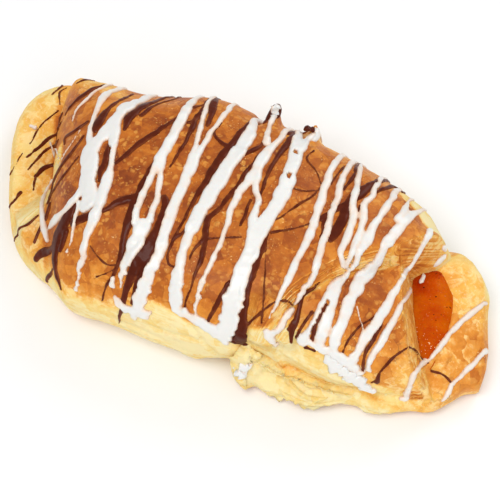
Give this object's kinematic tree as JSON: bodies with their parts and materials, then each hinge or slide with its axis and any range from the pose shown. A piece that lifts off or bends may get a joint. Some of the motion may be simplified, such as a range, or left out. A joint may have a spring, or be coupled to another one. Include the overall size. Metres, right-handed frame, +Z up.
{
  "type": "danish pastry",
  "caption": "Folded danish pastry with a browned crust, pale torn sides and an apricot filling that shows at the open end, drizzled with white icing and dark chocolate.",
  "frame": {"origin": "on the flat underside, under the middle of the pastry", "axes": "+X along the pastry towards the end where the filling shows, +Y away from the torn front side, +Z up"},
  "size_m": [0.154, 0.0724, 0.0393],
  "materials": {
    "crust": "baked laminated dough: caramel-brown glazed crust, pale cream-yellow torn sides, fine flaky layers at the cut edges",
    "apricot_filling": "thick set apricot filling, dark orange, wet gloss, slightly translucent",
    "icing": "white sugar icing in drizzled strands, satin gloss",
    "chocolate": "dark chocolate in drizzled strands, soft gloss"
  },
  "bodies": {
    "root": {"dough": "crust", "jam": "apricot_filling"}
  },
  "joints": []
}
